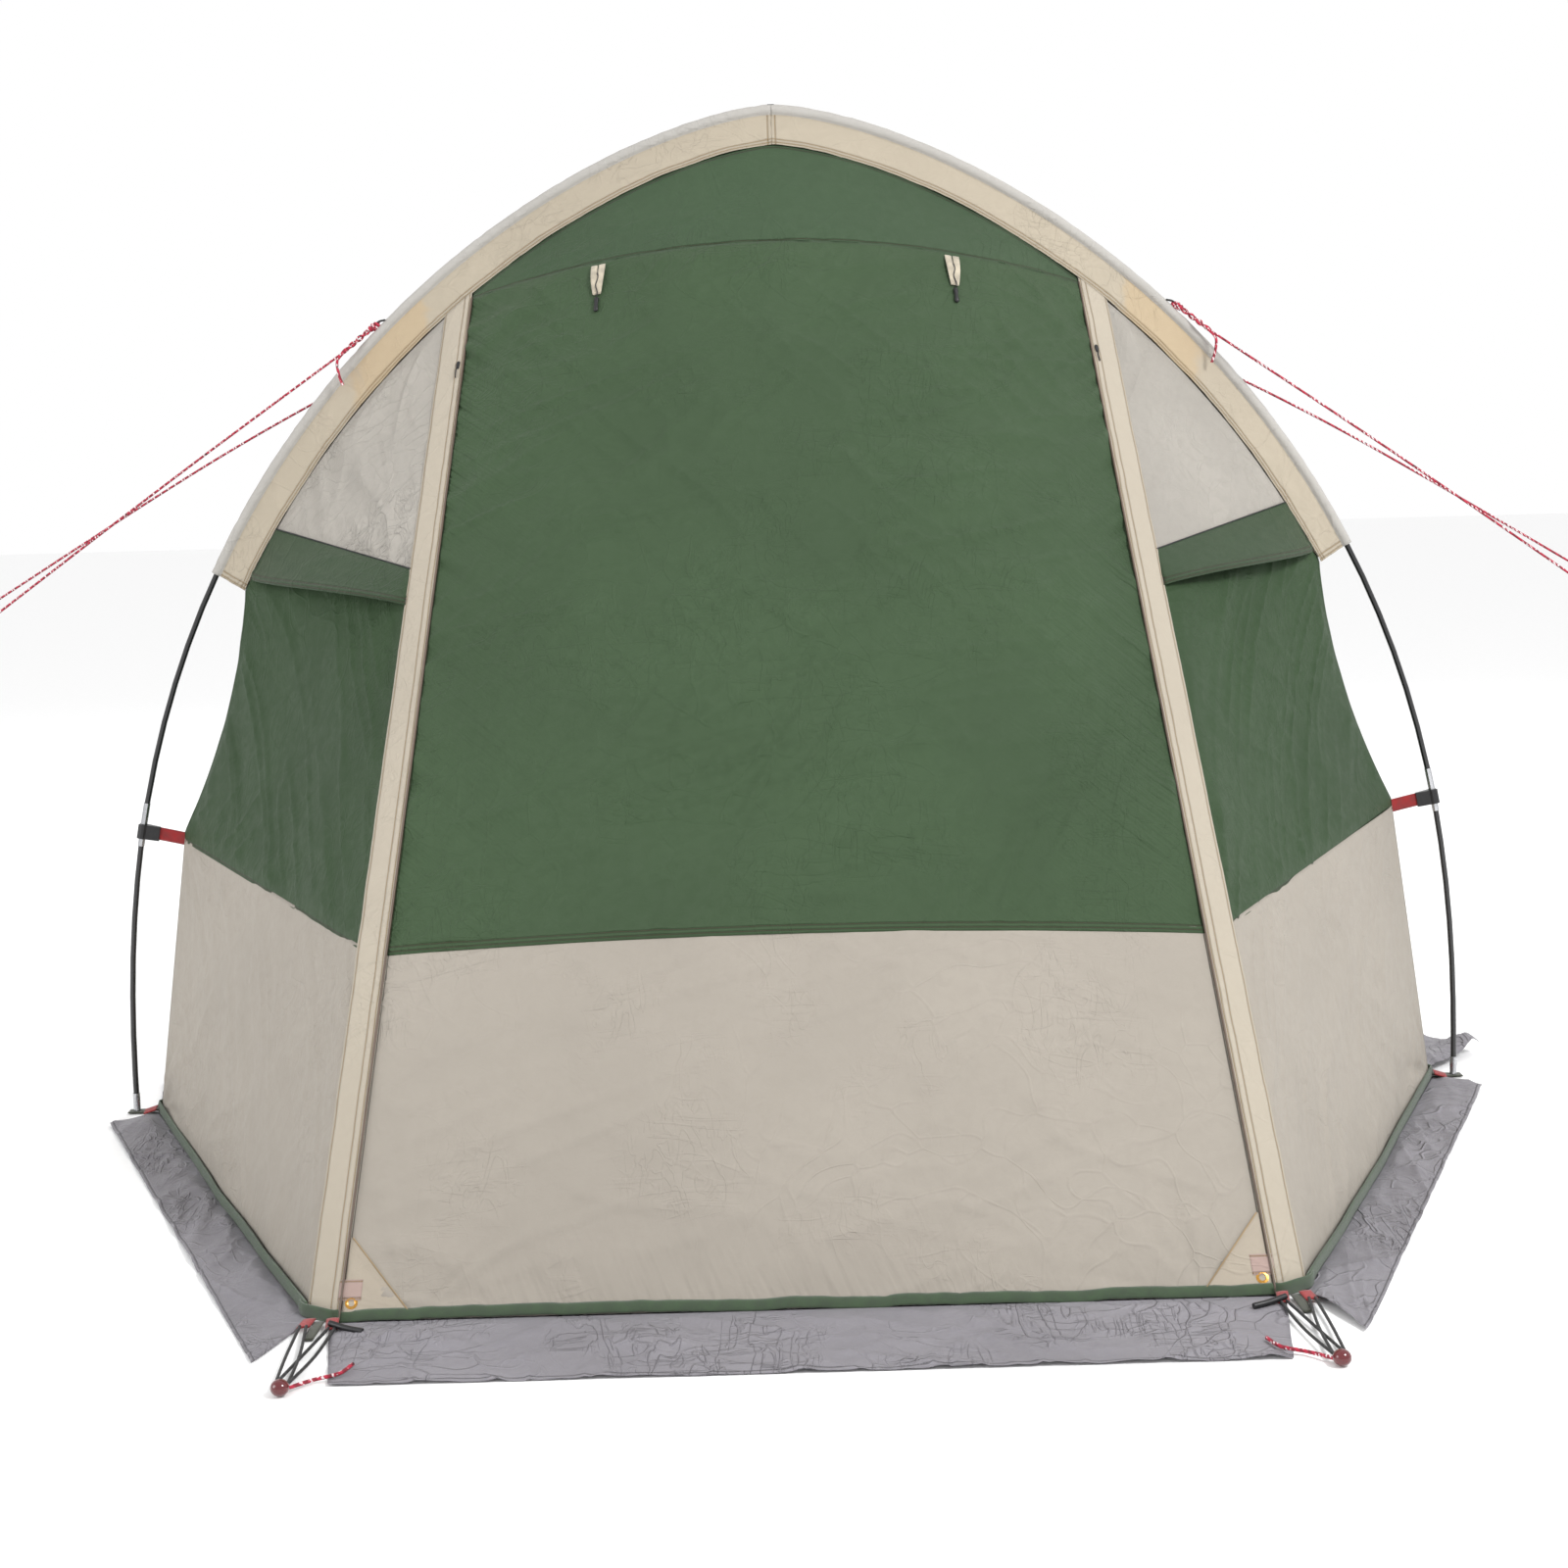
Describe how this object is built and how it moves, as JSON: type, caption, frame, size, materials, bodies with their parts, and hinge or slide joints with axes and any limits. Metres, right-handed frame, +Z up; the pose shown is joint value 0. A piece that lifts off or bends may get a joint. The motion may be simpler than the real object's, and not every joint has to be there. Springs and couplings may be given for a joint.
{
  "type": "hoop tent",
  "caption": "Hoop tent: jointed pole hoop in a fabric sleeve, sloping walls with a lift-up front flap, vent hoods, ground skirts and guy ropes.",
  "frame": {"origin": "on the ground, below the middle of the hoop and of the plan", "axes": "+X to the right seen from the front, -Y to the front, +Z up"},
  "size_m": [3.2822, 2.972, 1.9005],
  "materials": {
    "aluminium": "bright drawn tube",
    "beige_fabric": "coated polyester, beige",
    "black_plastic": "moulded, black",
    "brass": "bright, stamped",
    "cream_fabric": "coated cotton blend, cream",
    "elastic": "woven cover, off-white",
    "fibreglass": "satin black, pultruded glass fibre",
    "green_fabric": "coated polyester, dark green",
    "grey_film": "woven film, grey",
    "olive_webbing": "flat woven webbing, olive",
    "red_plastic": "moulded, dark red",
    "red_rope": "braided cord, red with flecks",
    "red_webbing": "flat woven webbing, red",
    "vent_fabric": "crinkled fine mesh, light grey"
  },
  "bodies": {
    "tent": {"ferrule_left": "aluminium", "ferrule_right": "aluminium", "foot_strap_left": "olive_webbing", "foot_strap_right": "olive_webbing", "front_gusset": "green_fabric", "front_strip_left": "cream_fabric", "front_strip_right": "cream_fabric", "guy_front_left": "red_rope", "guy_front_right": "red_rope", "guy_rear_left": "red_rope", "guy_rear_right": "red_rope", "hood_front_left": "green_fabric", "hood_front_right": "green_fabric", "peg_head_left": "red_plastic", "peg_head_right": "red_plastic", "pole_clip_left": "black_plastic", "pole_clip_right": "black_plastic", "pole_crown_left": "fibreglass", "pole_crown_right": "fibreglass", "pole_foot_left": "fibreglass", "pole_foot_right": "fibreglass", "pole_leg_left": "fibreglass", "pole_leg_right": "fibreglass", "pole_shoulder_left": "fibreglass", "pole_shoulder_right": "fibreglass", "pole_tip_left": "aluminium", "pole_tip_right": "aluminium", "rear_wall_lower": "beige_fabric", "rear_wall_upper": "green_fabric", "shock_cord": "elastic", "side_lower_front_left": "beige_fabric", "side_lower_front_right": "beige_fabric", "side_lower_rear_left": "beige_fabric", "side_lower_rear_right": "beige_fabric", "side_middle_front_left": "green_fabric", "side_middle_front_right": "green_fabric", "side_strap_left": "red_webbing", "side_strap_right": "red_webbing", "side_upper_rear_left": "green_fabric", "side_upper_rear_right": "green_fabric", "side_vent_front_left": "vent_fabric", "side_vent_front_right": "vent_fabric", "skirt_front": "grey_film", "skirt_front_left": "grey_film", "skirt_front_right": "grey_film", "skirt_rear": "grey_film", "skirt_rear_left": "grey_film", "skirt_rear_right": "grey_film", "sleeve_left": "cream_fabric", "sleeve_right": "cream_fabric"},
    "front_flap": {"flap_upper": "green_fabric", "flap_lower": "beige_fabric", "grommet_left": "brass", "grommet_right": "brass"},
    "loop_left": {"toggle_loop_left": "cream_fabric"},
    "toggle_left": {"toggle_left": "black_plastic"},
    "slider_left": {"zip_slider_left": "black_plastic"},
    "loop_right": {"toggle_loop_right": "cream_fabric"},
    "toggle_right": {"toggle_right": "black_plastic"},
    "slider_right": {"zip_slider_right": "black_plastic"}
  },
  "joints": [
    {"name": "flap_hinge", "type": "hinge", "parent": "tent", "child": "front_flap", "pos_m": [0, -0.15244, 1.63831], "axis": [-1, 0, 0], "range_deg": [0, 55]},
    {"name": "loop_swing_left", "type": "hinge", "parent": "front_flap", "child": "loop_left", "pos_m": [-0.32387, -0.12668, 1.60427], "axis": [-0.2643, -0.7949, 0.5462], "range_deg": [-60, 60]},
    {"name": "toggle_swing_left", "type": "hinge", "parent": "loop_left", "child": "toggle_left", "pos_m": [-0.32645, -0.16525, 1.54688], "axis": [-0.2643, -0.7949, 0.5462], "range_deg": [-30, 30]},
    {"name": "zip_slide_left", "type": "slide", "parent": "tent", "child": "slider_left", "axis": [0.0661, 0.5966, 0.7998], "range_m": [-1.64, 0.1]},
    {"name": "loop_swing_right", "type": "hinge", "parent": "front_flap", "child": "loop_right", "pos_m": [0.32387, -0.12668, 1.60427], "axis": [0.2643, -0.7949, 0.5462], "range_deg": [-60, 60]},
    {"name": "toggle_swing_right", "type": "hinge", "parent": "loop_right", "child": "toggle_right", "pos_m": [0.32645, -0.16525, 1.54688], "axis": [0.2643, -0.7949, 0.5462], "range_deg": [-30, 30]},
    {"name": "zip_slide_right", "type": "slide", "parent": "tent", "child": "slider_right", "axis": [-0.0661, 0.5966, 0.7998], "range_m": [-1.64, 0.1]}
  ]
}
